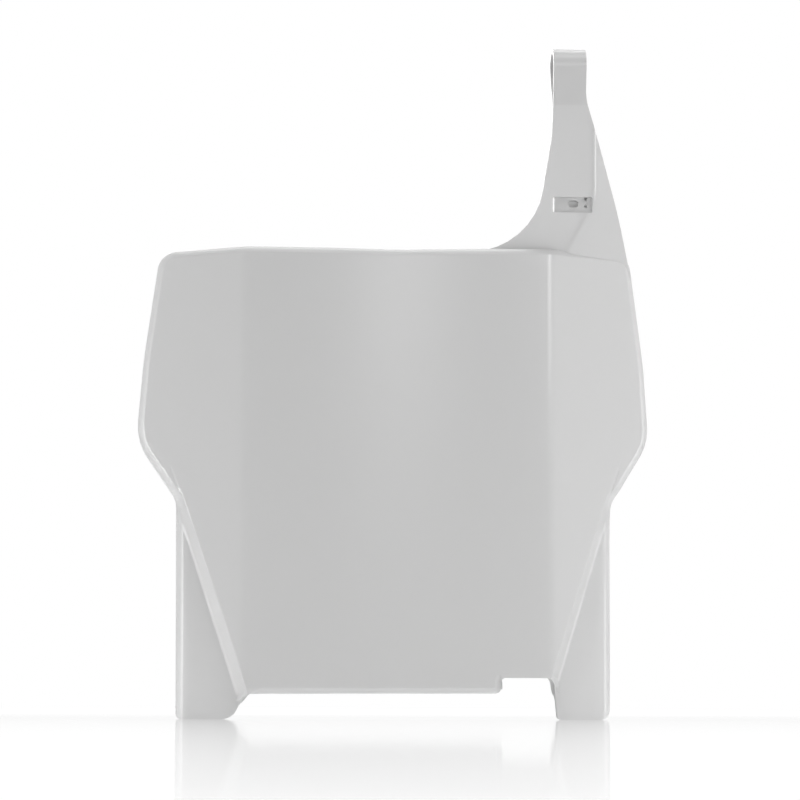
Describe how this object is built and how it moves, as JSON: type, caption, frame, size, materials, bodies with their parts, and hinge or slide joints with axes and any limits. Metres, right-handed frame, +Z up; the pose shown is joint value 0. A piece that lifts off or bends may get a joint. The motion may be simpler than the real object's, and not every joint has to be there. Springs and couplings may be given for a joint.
{
  "type": "motorcycle front number board",
  "caption": "One-piece moulded front number board: curved face, swept wings, two legs, and an arm with a strap loop for the crossbar.",
  "frame": {"origin": "middle of the loop, on the axis of the handlebar crossbar that carries the board", "axes": "+X across the board to the side that carries the arm, -Y out of its front, +Z up its height"},
  "size_m": [0.248, 0.0475, 0.3245],
  "materials": {
    "plastic": "semi-gloss moulded polypropylene"
  },
  "bodies": {
    "root": {"number_board": "plastic"}
  },
  "joints": []
}
